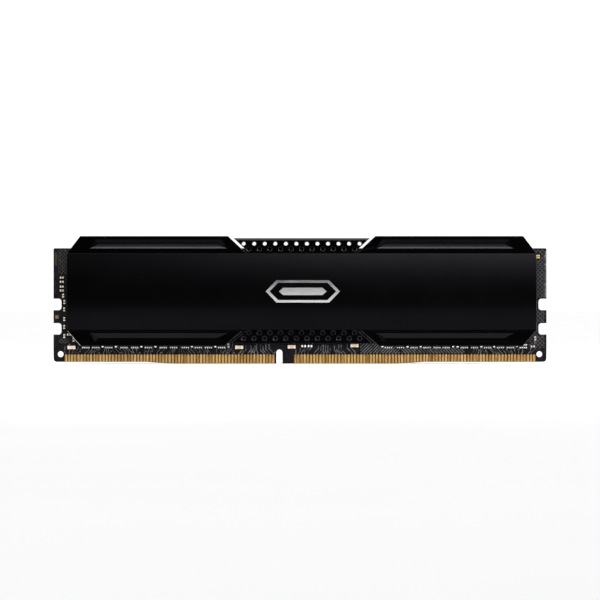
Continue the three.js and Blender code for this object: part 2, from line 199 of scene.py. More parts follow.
class Look:
    """A material with a Principled shader, and short ways to add nodes to it."""

    def __init__(self, name, colour, roughness, metallic=0.0):
        self.material = bpy.data.materials.new(name)
        self.material.use_nodes = True
        self.tree = self.material.node_tree
        self.shader = self.tree.nodes["Principled BSDF"]
        self.set("Base Color", (*colour, 1.0))
        self.set("Roughness", roughness)
        self.set("Metallic", metallic)
        self.material.diffuse_color = (*colour, 1.0)

    def set(self, socket, value):
        self.shader.inputs[socket].default_value = value

    def link(self, output, socket):
        self.tree.links.new(output, socket)

    def node(self, kind, **values):
        made = self.tree.nodes.new(kind)
        for key, value in values.items():
            setattr(made, key, value)
        return made

    def coordinates(self):
        return self.node("ShaderNodeTexCoord").outputs["Object"]

    def axes(self):
        split = self.node("ShaderNodeSeparateXYZ")
        self.link(self.coordinates(), split.inputs[0])
        return split.outputs

    def math(self, operation, a, b=None):
        made = self.node("ShaderNodeMath", operation=operation)
        for i, value in enumerate((a, b)):
            if value is None:
                continue
            if isinstance(value, (int, float)):
                made.inputs[i].default_value = value
            else:
                self.link(value, made.inputs[i])
        return made.outputs[0]

    def noise(self, size_mm, detail=3.0, stretch=(1, 1, 1)):
        """Noise whose features are about this many millimetres across, drawn out along an axis by stretch."""
        mapping = self.node("ShaderNodeMapping")
        mapping.inputs["Scale"].default_value = [1 / (size_mm * MM * s) for s in stretch]
        self.link(self.coordinates(), mapping.inputs["Vector"])
        made = self.node("ShaderNodeTexNoise")
        made.inputs["Scale"].default_value = 1.0
        made.inputs["Detail"].default_value = detail
        self.link(mapping.outputs[0], made.inputs["Vector"])
        return made.outputs["Fac"]

    def ramp(self, value, low, high, to_low=0.0, to_high=1.0):
        made = self.node("ShaderNodeMapRange", clamp=True)
        for key, number in (("From Min", low), ("From Max", high), ("To Min", to_low), ("To Max", to_high)):
            made.inputs[key].default_value = number
        self.link(value, made.inputs["Value"])
        return made.outputs["Result"]

    def mix(self, factor, a, b):
        made = self.node("ShaderNodeMix", data_type="RGBA")
        self.link(factor, made.inputs[0])
        for index, value in ((6, a), (7, b)):
            if isinstance(value, tuple):
                made.inputs[index].default_value = (*value, 1.0)
            else:
                self.link(value, made.inputs[index])
        return made.outputs[2]

    def colour(self, output):
        self.link(output, self.shader.inputs["Base Color"])

    def shade(self, value, dark, pale, low=0.3, high=0.7):
        """Colours the surface from dark to pale as a value goes from low to high."""
        self.colour(self.mix(self.ramp(value, low, high), dark, pale))

    def roughness(self, output):
        self.link(output, self.shader.inputs["Roughness"])

    def bump(self, height, depth_mm, strength):
        made = self.node("ShaderNodeBump")
        made.inputs["Strength"].default_value = strength
        made.inputs["Distance"].default_value = depth_mm * MM
        self.link(height, made.inputs["Height"])
        self.link(made.outputs["Normal"], self.shader.inputs["Normal"])


def satin_look(name, dark, pale):
    """Satin anodised aluminium with a fine blasted grain and faint clouding, this dark and this pale."""
    look = Look(name, pale, 0.22, 1.0)
    look.shade(look.noise(9.0, 4.0, (2.5, 1, 1)), dark, pale)
    grain = look.noise(0.09, 2.0)
    smudge = look.noise(6.0, 4.0)
    blend = look.math("ADD", look.math("MULTIPLY", grain, 0.06), look.math("MULTIPLY", smudge, 0.06))
    look.roughness(look.math("ADD", blend, 0.16))
    look.bump(grain, 0.004, 0.35)
    return look.material


def emblem_look():
    """Satin silver with a fine horizontal brush, and a painted shade that darkens it towards its top."""
    look = Look("emblem_silver", (0.18, 0.18, 0.185), 0.38, 0.3)
    brush = look.noise(0.12, 3.0, (30, 1, 1))
    height = look.axes()[2]
    # painted shade: darker towards the top
    shade = look.ramp(height, EMBLEM_DARK_Z * MM, EMBLEM_PALE_Z * MM)
    streaks = look.math("MULTIPLY", look.ramp(brush, 0.3, 0.7), 0.3)
    streaks_and_painted_shade = look.math("ADD", streaks, look.math("MULTIPLY", shade, 0.7))
    look.colour(look.mix(streaks_and_painted_shade, (0.020, 0.020, 0.021), (0.36, 0.36, 0.365)))
    look.roughness(look.ramp(brush, 0.3, 0.7, 0.28, 0.42))
    look.bump(brush, 0.003, 0.3)
    return look.material


def board_look():
    """Near-black solder mask, slightly uneven over the weave and the copper under it."""
    look = Look("solder_mask", (0.008, 0.008, 0.010), 0.45)
    look.set("Specular IOR Level", 0.05)
    shade = look.ramp(look.noise(1.1, 5.0), 0.38, 0.62)
    look.colour(look.mix(shade, (0.0018, 0.0018, 0.0023), (0.0060, 0.0058, 0.0074)))
    look.roughness(look.ramp(look.noise(0.3, 4.0), 0.3, 0.7, 0.38, 0.52))
    weave = look.math("ADD", look.math("MULTIPLY", look.noise(0.3, 2.0), 0.4), shade)
    look.bump(weave, 0.012, 0.5)
    return look.material


def laminate_edge_look():
    """The cut edge of the glass-fibre board: thin plies of dark and pale brown."""
    look = Look("laminate_edge", (0.10, 0.09, 0.07), 0.7)
    _, y, _ = look.axes()
    ply = look.math("PINGPONG", look.math("MULTIPLY", y, 1 / (0.18 * MM)), 0.5)
    fibre = look.math("ADD", ply, look.math("MULTIPLY", look.noise(0.12, 4.0, (4, 1, 4)), 0.5))
    look.shade(fibre, (0.030, 0.028, 0.028), (0.16, 0.145, 0.12), 0.2, 0.8)
    look.bump(fibre, 0.02, 0.5)
    return look.material


def bare_laminate_look():
    """Bare brown laminate between the contacts."""
    look = Look("bare_laminate", (0.06, 0.03, 0.008), 0.6)
    look.set("Specular IOR Level", 0.1)
    look.shade(look.noise(0.3, 4.0), (0.022, 0.009, 0.0012), (0.042, 0.019, 0.003))
    look.roughness(look.ramp(look.noise(0.2, 3.0), 0.3, 0.7, 0.45, 0.6))
    return look.material


def trace_look(name, dark, pale):
    """Solder mask over a raised copper track."""
    look = Look(name, pale, 0.42)
    look.set("Specular IOR Level", 0.12)
    look.shade(look.noise(1.1, 4.0), dark, pale, 0.4, 0.6)
    look.roughness(look.ramp(look.noise(0.25, 3.0), 0.3, 0.7, 0.34, 0.48))
    look.bump(look.noise(0.12, 2.0), 0.004, 0.4)
    return look.material


def gold_look():
    """Plated contacts: warm gold that varies from one to the next, with fine wipe marks up and down."""
    look = Look("contact_gold", (0.31, 0.18, 0.05), 0.36, 0.75)
    wipe = look.noise(0.07, 3.0, (1, 1, 16))
    apart = look.noise(0.45, 2.0, (1, 1, 20))
    shade = look.math("ADD", look.math("MULTIPLY", wipe, 0.35), look.math("MULTIPLY", apart, 0.65))
    look.shade(shade, (0.175, 0.078, 0.010), (0.44, 0.275, 0.088), 0.38, 0.62)
    look.roughness(look.ramp(wipe, 0.3, 0.7, 0.28, 0.46))
    look.bump(wipe, 0.003, 0.3)
    return look.material


def pad_gold_look():
    """A flat plated test pad."""
    look = Look("test_pad_gold", (0.80, 0.56, 0.24), 0.45, 0.6)
    look.shade(look.noise(0.3, 3.0), (0.42, 0.27, 0.10), (0.56, 0.40, 0.18))
    look.roughness(look.ramp(look.noise(0.15, 3.0), 0.3, 0.7, 0.38, 0.55))
    return look.material


def copper_pad_look():
    """A pad dulled to brown."""
    look = Look("dull_copper", (0.28, 0.17, 0.10), 0.5, 0.4)
    look.shade(look.noise(0.35, 3.0), (0.075, 0.042, 0.024), (0.15, 0.09, 0.053))
    look.roughness(look.ramp(look.noise(0.2, 3.0), 0.3, 0.7, 0.42, 0.6))
    return look.material


def solder_look(name, dark, pale):
    """Tin, slightly frosted where it froze."""
    look = Look(name, pale, 0.34, 0.06)
    frost = look.noise(0.10, 4.0)
    look.shade(frost, dark, pale)
    look.roughness(look.ramp(frost, 0.3, 0.7, 0.24, 0.44))
    look.bump(frost, 0.01, 0.4)
    return look.material


def ceramic_look(name, dark, pale):
    """Fired ceramic, faintly mottled."""
    look = Look(name, pale, 0.5)
    look.shade(look.noise(0.16, 4.0), dark, pale)
    look.roughness(look.ramp(look.noise(0.1, 3.0), 0.3, 0.7, 0.42, 0.58))
    look.bump(look.noise(0.05, 2.0), 0.004, 0.4)
    return look.material


def resin_look():
    """Moulded chip resin, with a fine matte spark-eroded grain."""
    look = Look("chip_resin", (0.020, 0.020, 0.022), 0.6)
    grain = look.noise(0.06, 3.0)
    look.shade(grain, (0.016, 0.016, 0.018), (0.027, 0.027, 0.030))
    look.roughness(look.ramp(grain, 0.3, 0.7, 0.52, 0.68))
    look.bump(grain, 0.006, 0.5)
    return look.material


def silicone_look():
    """Soft thermal pad: pale grey filled silicone, faintly dimpled."""
    look = Look("silicone_pad", (0.30, 0.31, 0.33), 0.8)
    fill = look.noise(0.4, 5.0)
    look.shade(fill, (0.24, 0.25, 0.27), (0.36, 0.37, 0.39))
    look.roughness(look.ramp(fill, 0.3, 0.7, 0.7, 0.88))
    look.bump(fill, 0.05, 0.5)
    return look.material


def floor_look():
    look = Look("pale_floor", (0.93, 0.93, 0.93), 0.7)
    look.shade(look.noise(60.0, 3.0), (0.92, 0.92, 0.92), (0.94, 0.94, 0.94))
    return look.material


SATIN = satin_look("spreader_satin", (0.0030, 0.00292, 0.0033), (0.0036, 0.0035, 0.0040))
# rounded edges: the same satin made many times paler, a painted highlight along them
SATIN_EDGE_HIGHLIGHT = satin_look("spreader_edge_painted_highlight", (0.055, 0.054, 0.057), (0.085, 0.084, 0.088))
# a paler copy of the satin for the lower recesses' facets: painted highlight
SATIN_FACET_HIGHLIGHT = satin_look("spreader_facet_painted_highlight", (0.0065, 0.0063, 0.0070), (0.0080, 0.0078, 0.0086))
# a darker copy of the satin for the recesses' slanted ends: painted shade
RECESS_END_SHADE = satin_look("recess_end_painted_shade", (0.0009, 0.00088, 0.0010), (0.0012, 0.00117, 0.0013))
# paler copies of the satin for the upper recesses' facets: painted highlight
RECESS_LIP_HIGHLIGHT = satin_look("recess_lip_painted_highlight", (0.0082, 0.0080, 0.0086), (0.0102, 0.0100, 0.0107))
RECESS_SLOPE_HIGHLIGHT = satin_look("recess_slope_painted_highlight", (0.0048, 0.0047, 0.0052), (0.0058, 0.0057, 0.0063))
# a paler copy of the satin for the vents' countersunk rims: painted highlight
VENT_RIM_HIGHLIGHT = satin_look("vent_rim_painted_highlight", (0.014, 0.0138, 0.0147), (0.026, 0.0257, 0.0268))
# a darker copy of the satin for the flat faces of the bands and tongues: painted shade
SATIN_BAND_SHADE = satin_look("spreader_band_painted_shade", (0.0014, 0.00135, 0.0015), (0.0017, 0.00165, 0.0019))
# much paler satin for one rounded edge: a painted glint along the lower-left slanted corner
CORNER_GLINT = satin_look("spreader_corner_painted_glint", (0.36, 0.36, 0.37), (0.55, 0.55, 0.56))
SHEET_LOOKS = [
    SATIN, SATIN_EDGE_HIGHLIGHT, SATIN_FACET_HIGHLIGHT, CORNER_GLINT, SATIN_BAND_SHADE, VENT_RIM_HIGHLIGHT, RECESS_END_SHADE, RECESS_LIP_HIGHLIGHT, RECESS_SLOPE_HIGHLIGHT,
]
EMBLEM = emblem_look()
MASK = board_look()
PLIES = laminate_edge_look()
BARE = bare_laminate_look()
TRACE = trace_look("masked_copper", (0.025, 0.0245, 0.030), (0.125, 0.122, 0.136))
HATCH = trace_look("masked_lattice", (0.035, 0.034, 0.036), (0.090, 0.088, 0.092))
DIM_HATCH = trace_look("dim_lattice", (0.013, 0.0115, 0.010), (0.025, 0.022, 0.019))
EAR_HATCH = trace_look("ear_lattice", (0.021, 0.0206, 0.0222), (0.034, 0.0332, 0.0356))
DIM_BROWN = trace_look("dim_brown", (0.014, 0.009, 0.003), (0.026, 0.018, 0.007))
GOLD = gold_look()
PAD_GOLD = pad_gold_look()
DULL_COPPER = copper_pad_look()
SOLDER = solder_look("solder", (0.80, 0.79, 0.76), (0.97, 0.96, 0.93))
DULL_SOLDER = solder_look("dull_solder", (0.30, 0.27, 0.20), (0.62, 0.57, 0.46))
CREAM_SOLDER = solder_look("cream_solder", (0.42, 0.38, 0.31), (0.80, 0.76, 0.67))
TAN_CERAMIC = ceramic_look("capacitor_ceramic", (0.50, 0.33, 0.18), (0.66, 0.48, 0.30))
BROWN_CERAMIC = ceramic_look("resistor_ceramic", (0.09, 0.050, 0.033), (0.17, 0.10, 0.07))
BLACK_CERAMIC = ceramic_look("network_ceramic", (0.014, 0.014, 0.016), (0.032, 0.032, 0.035))
RESIN = resin_look()
SILICONE = silicone_look()


# -------------------- mesh helpers

def arc(x, z, radius, start, end, steps):
    """Points round a circle, with angles in degrees."""
    turns = [math.radians(start + (end - start) * i / steps) for i in range(steps + 1)]
    return [(x + radius * math.cos(t), z + radius * math.sin(t)) for t in turns]


def circle(x, z, radius, sides):
    """As many points round a whole circle as it has sides."""
    return arc(x, z, radius, 0, 360 - 360 // sides, sides - 1)


def prism(outline, low, high, axis="Y"):
    """A solid with this outline, run from low to high across X or Y. The outline is in the other two axes."""
    bm = bmesh.new()
    rings = []
    for level in (low, high):
        spots = [(a, level, b) if axis == "Y" else (level, a, b) for a, b in outline]
        rings.append([bm.verts.new(spot) for spot in spots])
    for ring in rings:
        bm.faces.new(ring)
    for i in range(len(outline)):
        j = (i + 1) % len(outline)
        bm.faces.new((rings[0][i], rings[0][j], rings[1][j], rings[1][i]))
    bmesh.ops.recalc_face_normals(bm, faces=bm.faces)
    return bm


def add(bm, part):
    """Puts another bmesh's faces into bm."""
    mesh = bpy.data.meshes.new("part")
    part.to_mesh(mesh)
    part.free()
    bm.from_mesh(mesh)
    bpy.data.meshes.remove(mesh)


def temporary(bm):
    """A throwaway object with a bmesh's faces."""
    mesh = bpy.data.meshes.new("temporary")
    bm.to_mesh(mesh)
    bm.free()
    thing = bpy.data.objects.new("temporary", mesh)
    SCENE.collection.objects.link(thing)
    return thing


def carved(bm, steps):
    """bm after each (operation, cutter) boolean in turn."""
    body = temporary(bm)
    spent = [body]
    for operation, cutter in steps:
        tool = temporary(cutter)
        modifier = body.modifiers.new(operation, "BOOLEAN")
        modifier.operation = operation
        modifier.solver = "EXACT"
        modifier.object = tool
        spent.append(tool)
    graph = bpy.context.evaluated_depsgraph_get()
    mesh = bpy.data.meshes.new_from_object(body.evaluated_get(graph), depsgraph=graph)
    result = bmesh.new()
    result.from_mesh(mesh)
    bpy.data.meshes.remove(mesh)
    for thing in spent:
        mesh = thing.data
        bpy.data.objects.remove(thing)
        bpy.data.meshes.remove(mesh)
    return result


def cleaned(bm):
    """Merges points that meet, and faces that are flat with each other."""
    bmesh.ops.remove_doubles(bm, verts=bm.verts, dist=0.004)
    bmesh.ops.dissolve_limit(bm, angle_limit=math.radians(0.05), verts=bm.verts, edges=bm.edges)
    return bm


def softened(bm, width, sharper_than, material=-1, where=None):
    """Rounds the edges sharper than an angle in degrees, or only those of them with both ends where asked."""
    limit = math.radians(sharper_than)
    edges = [e for e in bm.edges if len(e.link_faces) == 2 and e.calc_face_angle(0) > limit]
    if where:
        edges = [e for e in edges if all(where(vert.co) for vert in e.verts)]
    bmesh.ops.bevel(
        bm, geom=edges, offset=width, segments=2, profile=0.5, affect="EDGES",
        clamp_overlap=False, material=material,
    )
    return bm


def rounded_box(low, high, radius, material=0, segments=2):
    """A box between two corners, with its edges rounded."""
    bm = bmesh.new()
    bmesh.ops.create_cube(bm, size=1.0)
    low, high = Vector(low), Vector(high)
    bmesh.ops.scale(bm, vec=high - low, verts=bm.verts)
    bmesh.ops.translate(bm, vec=(low + high) / 2, verts=bm.verts)
    bmesh.ops.bevel(bm, geom=bm.edges[:], offset=radius, segments=segments, profile=0.5, affect="EDGES")
    for face in bm.faces:
        face.material_index = material
    return bm


def mesh_of(name, bm, materials, smooth_below=35):
    """A mesh in metres from a bmesh in millimetres, smooth except at edges sharper than an angle."""
    mesh = bpy.data.meshes.new(name)
    bmesh.ops.recalc_face_normals(bm, faces=bm.faces)
    bm.to_mesh(mesh)
    bm.free()
    mesh.transform(Matrix.Scale(MM, 4))
    for material in materials:
        mesh.materials.append(material)
    mesh.polygons.foreach_set("use_smooth", [True] * len(mesh.polygons))
    mesh.set_sharp_from_angle(angle=math.radians(smooth_below))
    return mesh


def piece(name, mesh, nodes=(), weighted=False):
    """Shows a mesh as one piece of the module, standing for these CAD nodes."""
    thing = bpy.data.objects.new(name, mesh)
    SCENE.collection.objects.link(thing)
    if weighted:
        normals = thing.modifiers.new("even_normals", "WEIGHTED_NORMAL")
        normals.keep_sharp = True
    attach(thing, ROOT)
    if nodes:
        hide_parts(*nodes)
    return thing


# -------------------- circuit board

def edge_height(x):
    """Height of the contact edge at a point along the board."""
    left = (RAMP_LEFT[1] - x) / (RAMP_LEFT[1] - RAMP_LEFT[0])
    right = (x - RAMP_RIGHT[0]) / (RAMP_RIGHT[1] - RAMP_RIGHT[0])
    return END_LIFT * min(1, max(0, left, right))


def latch_notch(low, high):
    """One notch in the right end, followed upwards."""
    inner = END - LATCH_DEPTH + LATCH_RADIUS
    return [
        (END, low),
        *arc(inner, low + LATCH_RADIUS, LATCH_RADIUS, 270, 180, 10),
        *arc(inner, high - LATCH_RADIUS, LATCH_RADIUS, 180, 90, 10),
        (END, high),
    ]


def board_outline():
    right_notches = [point for notch in LATCH_NOTCHES for point in latch_notch(*notch)]
    left_notches = [(-x, z) for x, z in reversed(right_notches)]
    return [
        *arc(-END + BASE_CORNER, END_LIFT + BASE_CORNER, BASE_CORNER, 180, 270, 10),
        (RAMP_LEFT[0], END_LIFT),
        (RAMP_LEFT[1], 0),
        *arc(KEY_X - KEY_HALF - KEY_LEAD, KEY_LEAD, KEY_LEAD, 270, 360, 4),
        *arc(KEY_X, KEY_DEPTH - KEY_HALF, KEY_HALF, 180, 0, 20),
        *arc(KEY_X + KEY_HALF + KEY_LEAD, KEY_LEAD, KEY_LEAD, 180, 270, 4),
        (RAMP_RIGHT[0], 0),
        (RAMP_RIGHT[1], END_LIFT),
        *arc(END - BASE_CORNER, END_LIFT + BASE_CORNER, BASE_CORNER, 270, 360, 10),
        *right_notches,
        *arc(END - TOP_CORNER, BOARD_TOP - TOP_CORNER, TOP_CORNER, 0, 90, 6),
        *arc(-END + TOP_CORNER, BOARD_TOP - TOP_CORNER, TOP_CORNER, 90, 180, 6),
        *left_notches,
    ]


def circuit_board():
    """The board in solder mask, with its cut edges showing the plies."""
    bm = prism(board_outline(), -FACE, FACE)
    holes = [circle(side * (END - HOLE_INSET), HOLE_Z, HOLE_RADIUS, 24) for side in (-1, 1)]
    bm = cleaned(carved(bm, [("DIFFERENCE", prism(hole, -FAR, FAR)) for hole in holes]))
    bm = softened(bm, BOARD_SOFTENING, 40)
    bm.normal_update()
    looks = [MASK, PLIES]
    for face in bm.faces:
        face.material_index = looks.index(MASK if abs(face.normal.y) > 0.9 else PLIES)
    piece("board_with_mask", mesh_of("board", bm, looks), ["circuit_board"], weighted=True)


def stacked(rings):
    """A closed solid over rings of points that all have as many points."""
    bm = bmesh.new()
    rings = [[bm.verts.new(spot) for spot in ring] for ring in rings]
    for lower, upper in zip(rings, rings[1:]):
        for i in range(len(lower)):
            j = (i + 1) % len(lower)
            bm.faces.new((lower[i], lower[j], upper[j], upper[i]))
    bm.faces.new(rings[0])
    bm.faces.new(rings[-1])
    return bm


def finger(x, side):
    """One contact: a thin plate with a low crown and rounded upper corners."""
    foot = edge_height(x) + FINGER_FOOT
    rings = []
    for inset, lift in FINGER_LEVELS:
        half, low, high = FINGER_HALF - inset, foot + inset, FINGER_TOP - inset
        corner_x = half - FINGER_CORNER * (1 - inset)
        outline = [(x - half, low), (x + half, low)]
        outline += arc(x + corner_x, high - FINGER_CORNER, FINGER_CORNER, 0, 90, 3)
        outline += arc(x - corner_x, high - FINGER_CORNER, FINGER_CORNER, 90, 180, 3)
        rings.append([(a, side * (FACE + lift), b) for a, b in outline])
    return stacked(rings)


def contact_row(name, first, count, side, node):
    """A row of contacts on a strip of bare laminate."""
    bm = bmesh.new()
    spots = [first + i * PITCH for i in range(count)]
    left, right = spots[0] - FINGER_HALF, spots[-1] + FINGER_HALF
    corners = [x for x in (left, *RAMP_LEFT, *RAMP_RIGHT, right) if left <= x <= right]
    feet = [(x, edge_height(x) + FINGER_FOOT) for x in corners]
    levels = sorted((side * FACE, side * (FACE + BARE_HEIGHT)))
    top = FINGER_TOP - BARE_TOP_GAP
    strip = prism([*feet, (right, top), (left, top)], *levels)
    looks = [GOLD, BARE]
    for face in strip.faces:
        face.material_index = looks.index(BARE)
    add(bm, strip)
    for x in spots:
        add(bm, finger(x, side))
    piece(name, mesh_of(name, bm, looks, 50), [node])


def contacts():
    for word, side in SIDES:
        for row, first, count in ROWS:
            contact_row(f"{word}_fingers_{row}", first, count, side, f"{word}_contacts_{row}_row")


def track(points, half, side, lift=TRACK_HEIGHT):
    """A flat copper track along points in X and Z, mitred at its bends."""
    bm = bmesh.new()
    path = [Vector(p) for p in points]
    rails = []
    for i, here in enumerate(path):
        before = (here - path[i - 1]).normalized() if i else (path[1] - here).normalized()
        after = (path[i + 1] - here).normalized() if i + 1 < len(path) else before
        along = (before + after).normalized()
        across = Vector((-along.y, along.x)) * half / max(0.4, along.dot(before))
        rails.append((here + across, here - across))
    rows = []
    for left, right in rails:
        inner = (right - left) * TRACK_SLOPE
        spots = [(left, 0.0), (left + inner, lift), (right - inner, lift), (right, 0.0)]
        rows.append([bm.verts.new((p.x, side * (FACE + up), p.y)) for p, up in spots])
    for a, b in zip(rows, rows[1:]):
        for k in range(4):
            bm.faces.new((a[k], a[(k + 1) % 4], b[(k + 1) % 4], b[k]))
    bm.faces.new(rows[0])
    bm.faces.new(rows[-1])
    return bm


def via(x, z, side, radius):
    """A masked ring with a dimple."""
    rings = []
    for share, lift in VIA_LEVELS:
        rings.append([(a, side * (FACE + lift), b) for a, b in circle(x, z, radius * share, 12)])
    return stacked(rings)


def tracks(side, word, spans):
    """Tracks fanning up from the contacts to the parts under the heat spreader, along these spans of X."""
    rng = random.Random(TRACK_SEEDS[side])
    bm = bmesh.new()
    for x in [first + i * PITCH for _, first, count in ROWS for i in range(count)]:
        if not any(low <= x <= high for low, high in spans) or rng.random() < UNTRACKED:
            continue
        # neighbours lean and bend alike, in slow waves along the board
        lean = 1.2 * math.sin(x * 0.31 + 0.6) + 0.12 * math.sin(x * 0.8)
        bend = 3.0 + 0.35 * math.sin(x * 0.9)
        reach = bend + abs(lean)
        end = min(TRACKS_TOP, reach + 0.5 + 1.6 * rng.random())
        points = [(x, FINGER_TOP - 0.1), (x, bend), (x + lean, reach)]
        if end > reach + 0.1:
            points.append((x + lean, end))
        add(bm, track(points, FINE_TRACK_HALF if x < FINE_BELOW else TRACK_HALF, side))
        if rng.random() < 0.5:
            add(bm, via(x + lean, end, side, VIA))
        if rng.random() < 0.35:
            add(bm, via(x + PITCH / 2, 2.9 + 0.5 * rng.random(), side, SMALL_VIA))
    piece(f"{word}_tracks", mesh_of(f"{word}_tracks", bm, [TRACE], 30))


def hatched(areas, side, pitch, slopes):
    """Slanted strips of copper filling rectangles, each given as X from, X to, Z from, Z to."""
    bm = bmesh.new()
    half = pitch * (CROSSED_HALF if slopes == CROSSED else PARALLEL_HALF)
    for x0, x1, z0, z1 in areas:
        for slope in slopes:
            # falling strips lie a little higher, so no two faces share a plane where they cross
            lift = TRACK_HEIGHT if slope > 0 else TRACK_HEIGHT + 0.004
            crossings = [z - slope * x for x in (x0, x1) for z in (z0, z1)]
            first, last = math.ceil(min(crossings) / pitch), math.floor(max(crossings) / pitch)
            for k in range(first, last + 1):
                offset = k * pitch
                reach = sorted((slope * (z0 - offset), slope * (z1 - offset)))
                near, far = max(x0, reach[0]), min(x1, reach[1])
                if far - near > SHORTEST_STRIP:
                    ends = [(x, slope * x + offset) for x in (near, far)]
                    add(bm, track(ends, half, side, lift))
    return bm


def lattice():
    mirrored = [(-x1, -x0, z0, z1) for x0, x1, z0, z1 in RIGHT_LATTICE]
    for name, look, areas, side, pitch, slopes in (
        ("front_right", EAR_HATCH, RIGHT_LATTICE, FRONT, 1.12, CROSSED),
        ("front_left", DIM_HATCH, LEFT_LATTICE, FRONT, 1.0, CROSSED),
        ("front_foot_rising", HATCH, RISING_FOOT, FRONT, 0.85, RISING),
        ("front_foot_falling", HATCH, FALLING_FOOT, FRONT, 0.85, FALLING),
        ("rear_right", EAR_HATCH, RIGHT_LATTICE, REAR, 0.9, CROSSED),
        ("rear_left", EAR_HATCH, mirrored, REAR, 0.9, CROSSED),
    ):
        mesh = mesh_of(f"{name}_lattice", hatched(areas, side, pitch, slopes), [look], 30)
        piece(f"{name}_lattice", mesh)


# -------------------- heat spreader

def panel_face(z):
    """The crowned panel's distance from the mid-plane at a height."""
    reach = (PANEL_LOW if z < CROWN_Z else PANEL_TOP) - CROWN_Z
    return PANEL_EDGE + (CROWN - PANEL_EDGE) * (1 - ((z - CROWN_Z) / reach) ** 2)


def sheet_section():
    """Section of the front sheet in Y and Z."""
    levels = [PANEL_LOW + (PANEL_TOP - PANEL_LOW) * i / PANEL_STEPS for i in range(PANEL_STEPS + 1)]
    return [
        (-INSIDE, SHEET_BASE),
        (-BAND + SHEET_CORNER, SHEET_BASE),
        (-BAND, SHEET_BASE + SHEET_CORNER),
        (-BAND, PANEL_LOW - 2 * GROOVE_RISE),
        (-BAND + GROOVE_DEPTH, PANEL_LOW - GROOVE_RISE),
        *[(-panel_face(z), z) for z in levels],
        (-BAND + GROOVE_DEPTH, PANEL_TOP + GROOVE_RISE),
        (-BAND, PANEL_TOP + 2 * GROOVE_RISE),
        (-BAND, SHEET_TOP - SHEET_CORNER),
        (-BAND + SHEET_CORNER, SHEET_TOP),
        (-LIP_SEAM, SHEET_TOP),
        (-LIP_SEAM, SHEET_TOP - LIP_THICK),
        (-INSIDE, SHEET_TOP - LIP_THICK),
    ]


def sheet_outline():
    """The sheet's ends in X and Z, a little past its base and its top."""
    right = [
        (BASE_HALF, SHEET_BASE - 1),
        (BASE_HALF, SHEET_BASE),
        (SHEET_HALF, BASE_SHOULDER),
        (SHEET_HALF, PANEL_TOP),
        (TOP_HALF, SHEET_TOP),
        (TOP_HALF, SHEET_TOP + 1),
    ]
    return right + [(-x, z) for x, z in reversed(right)]


def on_slanted_corner(point):
    """Whether a point is by the outer edge of one of the sheet's four corners that are cut off at a slant."""
    if -point.y < BAND - EDGE_REACH:
        return False
    base = ((BASE_HALF, SHEET_BASE), (SHEET_HALF, BASE_SHOULDER))
    top = ((SHEET_HALF, PANEL_TOP), (TOP_HALF, SHEET_TOP))
    for (x0, z0), (x1, z1) in (base, top):
        along = (point.z - z0) / (z1 - z0)
        if 0 < along < 1 and abs(abs(point.x) - x0 - along * (x1 - x0)) < EDGE_REACH:
            return True
    return False


def on_slit(point):
    """Whether a point is by the mouth of a slit."""
    if -point.y < TONGUE_FACE - EDGE_REACH:
        return False
    for slit in (SLIT_TOP, SLIT_LOW):
        low, high = sorted((slit[0][0], slit[1][0]))
        from_middle = abs(abs(point.x) - slit_middle(slit, point.z))
        if low - 0.1 < point.z < high and abs(from_middle - SLIT_WIDTH / 2) < EDGE_REACH:
            return True
    return False


def in_recess(point):
    """Whether a point is on one of the recesses' facets next to the panel."""
    if not -BAND + 0.01 < point.y < -TONGUE_FACE + 0.6:
        return False
    for edges in (RECESS_TOP, RECESS_LOW):
        low, high = sorted((edges[1][0], edges[3][0]))
        if abs(point.x) > edges[0][2] - 2 and low < point.z < high:
            return True
    return False


def off_vents(point):
    """Whether a point is clear of every vent."""
    for z, count, _ in VENT_ROWS:
        nearest = round(point.x / VENT_PITCH + (count - 1) / 2)
        x = (min(count - 1, max(0, nearest)) - (count - 1) / 2) * VENT_PITCH
        if math.hypot(point.x - x, point.z - z) < VENT_RADIUS + RIM_WIDTH + 0.02:
            return False
    return True


def recess_cutter(edges, side):
    """The space of one wing's recess, from its long edges out past the sheet's face."""
    bm = bmesh.new()
    for z, depth, near, far in edges:
        for x in (side * near, side * far):
            bm.verts.new((x, -depth, z))
            if depth == BAND:
                bm.verts.new((x, -FAR, z))
    bmesh.ops.convex_hull(bm, input=bm.verts)
    bmesh.ops.recalc_face_normals(bm, faces=bm.faces)
    return bm


def slit_middle(slit, z):
    """Distance from the sheet's middle to a slit's centre line at this height."""
    (root_z, root_half), (end_z, end_half) = slit
    return root_half + (z - root_z) / (end_z - root_z) * (end_half - root_half) - SLIT_WIDTH / 2


def tongue_cutter(slit, z_from, low, high):
    """The space between two slits' centre lines, from a height to past the sheet's edge."""
    end_z = slit[1][0]
    near, far = slit_middle(slit, z_from), slit_middle(slit, end_z)
    return prism([(-near, z_from), (near, z_from), (far, end_z), (-far, end_z)], low, high)


def slit_cutter(slit, side):
    """The slanted slit between a wing and the tongue."""
    (root_z, root_half), (end_z, end_half) = slit
    outer = [(root_half, root_z), (end_half, end_z)]
    inner = [(half - SLIT_WIDTH, z) for half, z in reversed(outer)]
    return prism([(side * x, z) for x, z in outer + inner], -FAR, FAR)


def vent_cutters():
    """Countersunk round cutters for every vent, in one bmesh."""
    bm = bmesh.new()
    wide = VENT_RADIUS + RIM_WIDTH
    for z, count, end in VENT_ROWS:
        for i in range(count):
            x = (i - (count - 1) / 2) * VENT_PITCH
            levels = (
                (-FAR, wide),
                (-TONGUE_FACE, wide),
                (-TONGUE_FACE + RIM_DEPTH, VENT_RADIUS),
                (-end, VENT_RADIUS),
            )
            add(bm, stacked([[(a, y, b) for a, b in circle(x, z, r, VENT_SIDES)] for y, r in levels]))
    bmesh.ops.recalc_face_normals(bm, faces=bm.faces)
    return bm


